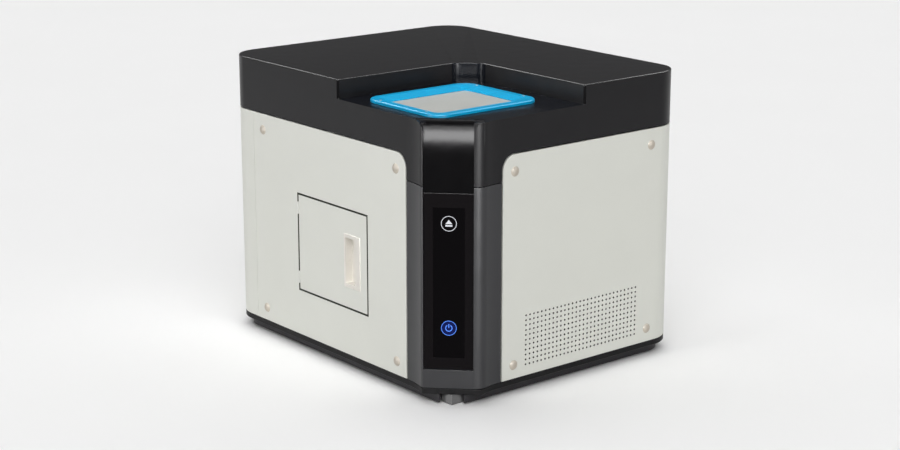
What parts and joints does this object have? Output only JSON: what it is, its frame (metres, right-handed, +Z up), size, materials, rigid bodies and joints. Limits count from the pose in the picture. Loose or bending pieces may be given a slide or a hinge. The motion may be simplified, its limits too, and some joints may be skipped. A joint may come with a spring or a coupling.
{
  "type": "flow cytometer",
  "caption": "Benchtop flow cytometer that loads a microplate under a sliding shutter, with a touch display corner, a bottle bay behind a side door, and its optics and fluidics inside.",
  "frame": {"origin": "on the bench, under the middle of the body", "axes": "+Z up, -Y the front face with the air intake, -X the side with the bottle door"},
  "size_m": [0.4676, 0.566, 0.4437],
  "materials": {
    "black_base": "satin black moulding",
    "rail_grey": "satin dark grey",
    "rubber": "matt black rubber",
    "frame_steel": "zinc-coated folded steel",
    "charcoal_cover": "fine satin charcoal paint",
    "column_grey": "satin grey paint",
    "black_glass": "glossy black printed glass",
    "display": "display panel and board",
    "panel_grey": "fine satin light grey paint",
    "fastener_beige": "beige grey caps",
    "filter_foam": "black dust filter mat",
    "pull_white": "smooth warm white plastic",
    "hinge_steel": "light grey painted steel",
    "black_plastic": "matt black plastic",
    "bay_plastic": "light grey vacuum formed liner",
    "bottle_plastic": "milky bottle plastic",
    "cap_blue": "moulded cap",
    "blue_frame": "bright blue anodised satin",
    "bright_steel": "bright steel",
    "shutter_grey": "light warm grey satin",
    "anodised": "clear anodised aluminium",
    "motor_steel": "brushed motor case",
    "nest_black": "black anodised aluminium",
    "bench_black": "black anodised aluminium",
    "mirror": "coated mirror on a post",
    "clear_glass": "clear glass",
    "lens_black": "black lens barrel",
    "camera_red": "grey camera case",
    "clear_acrylic": "clear acrylic block and valves",
    "board_green": "green circuit board",
    "supply_steel": "zinc-coated steel box",
    "rocker_black": "glossy black rocker",
    "brass": "plated couplings"
  },
  "bodies": {
    "chassis": {"base_tray": "black_base", "base_rails": "rail_grey", "foot_pads": "rubber", "chassis_frame": "frame_steel", "top_cover": "charcoal_cover", "corner_column": "column_grey", "touch_glass": "black_glass", "display_module": "display", "left_panel": "panel_grey", "front_panel": "panel_grey", "right_panel": "panel_grey", "rear_shell": "panel_grey", "panel_fasteners": "fastener_beige", "vent_filter": "filter_foam", "door_hinge_fixed": "hinge_steel", "door_magnet": "black_plastic", "bottle_bay": "bay_plastic", "fluid_bottles": "bottle_plastic", "bottle_caps": "cap_blue", "deck_frame": "blue_frame", "deck_frame_screws": "bright_steel", "shutter_rails": "anodised", "gear_motors": "motor_steel", "stage_table": "anodised", "stage_y_guides": "bright_steel", "probe_column": "anodised", "optical_bench": "bench_black", "bench_isolators": "rubber", "laser_modules": "bench_black", "beam_mirrors": "mirror", "flow_cell_block": "anodised", "flow_cell": "clear_glass", "objective": "lens_black", "filter_cube": "bench_black", "detector_camera": "camera_red", "syringe_pump_body": "anodised", "syringe_barrel": "clear_glass", "valve_manifold": "clear_acrylic", "main_board": "board_green", "power_supply": "supply_steel", "fan_frame": "black_plastic", "rear_ports": "black_plastic", "fluid_couplings": "brass"},
    "bottle_door": {"side_door": "panel_grey", "door_pull": "pull_white", "door_hinge_moving": "hinge_steel"},
    "shutter_plate": {"shutter": "shutter_grey"},
    "shutter_drive": {"shutter_roller": "rubber"},
    "stage_y_slide": {"y_carriage": "anodised", "stage_x_guides": "bright_steel", "stage_x_motor": "motor_steel"},
    "stage_y_drive": {"stage_y_screw": "bright_steel"},
    "stage_x_slide": {"plate_nest": "nest_black"},
    "stage_x_drive": {"stage_x_screw": "bright_steel"},
    "probe": {"probe_slide": "anodised", "probe_needle": "bright_steel"},
    "plunger": {"syringe_plunger": "pull_white"},
    "plunger_drive": {"syringe_pump_screw": "bright_steel"},
    "fan_wheel": {"fan_rotor": "black_plastic"},
    "mains_rocker": {"switch_rocker": "rocker_black"}
  },
  "joints": [
    {"name": "door_hinge", "type": "hinge", "parent": "chassis", "child": "bottle_door", "pos_m": [-0.229, 0.0894, 0.17435], "axis": [0, 0, -1], "range_deg": [0, 110]},
    {"name": "shutter_slide", "type": "slide", "parent": "chassis", "child": "shutter_plate", "axis": [1, 0, 0], "range_m": [0, 0.158]},
    {"name": "shutter_roller_turn", "type": "hinge", "parent": "chassis", "child": "shutter_drive", "pos_m": [-0.031, -0.135, 0.40185], "axis": [0, 1, 0], "range_deg": [0, 1140]},
    {"name": "stage_y", "type": "slide", "parent": "chassis", "child": "stage_y_slide", "axis": [0, 1, 0], "range_m": [0, 0.172]},
    {"name": "stage_y_screw_turn", "type": "hinge", "parent": "chassis", "child": "stage_y_drive", "pos_m": [-0.11, -0.135, 0.299], "axis": [0, 1, 0], "range_deg": [0, 6200]},
    {"name": "stage_x", "type": "slide", "parent": "stage_y_slide", "child": "stage_x_slide", "axis": [1, 0, 0], "range_m": [-0.024, 0.074]},
    {"name": "stage_x_screw_turn", "type": "hinge", "parent": "stage_y_slide", "child": "stage_x_drive", "pos_m": [-0.11, -0.135, 0.319], "axis": [1, 0, 0], "range_deg": [-870, 2670]},
    {"name": "probe_lift", "type": "slide", "parent": "chassis", "child": "probe", "axis": [0, 0, -1], "range_m": [0, 0.014]},
    {"name": "plunger_lift", "type": "slide", "parent": "chassis", "child": "plunger", "axis": [0, 0, 1], "range_m": [0, 0.044]},
    {"name": "plunger_screw_turn", "type": "hinge", "parent": "chassis", "child": "plunger_drive", "pos_m": [-0.024, -0.193, 0.06], "axis": [0, 0, 1], "range_deg": [0, 1590]},
    {"name": "fan_spin", "type": "hinge", "parent": "chassis", "child": "fan_wheel", "pos_m": [0.06, 0.26, 0.23], "axis": [0, 1, 0], "continuous": true},
    {"name": "mains_switch", "type": "hinge", "parent": "chassis", "child": "mains_rocker", "pos_m": [0, 0.274, 0.062], "axis": [1, 0, 0], "range_deg": [-8, 8]}
  ],
  "couplings": [
    {"joint": "shutter_roller_turn", "follows": "shutter_slide", "rad_per_m": 125},
    {"joint": "stage_y_screw_turn", "follows": "stage_y", "rad_per_m": 628.32},
    {"joint": "stage_x_screw_turn", "follows": "stage_x", "rad_per_m": 628.32},
    {"joint": "plunger_screw_turn", "follows": "plunger_lift", "rad_per_m": 628.32}
  ]
}
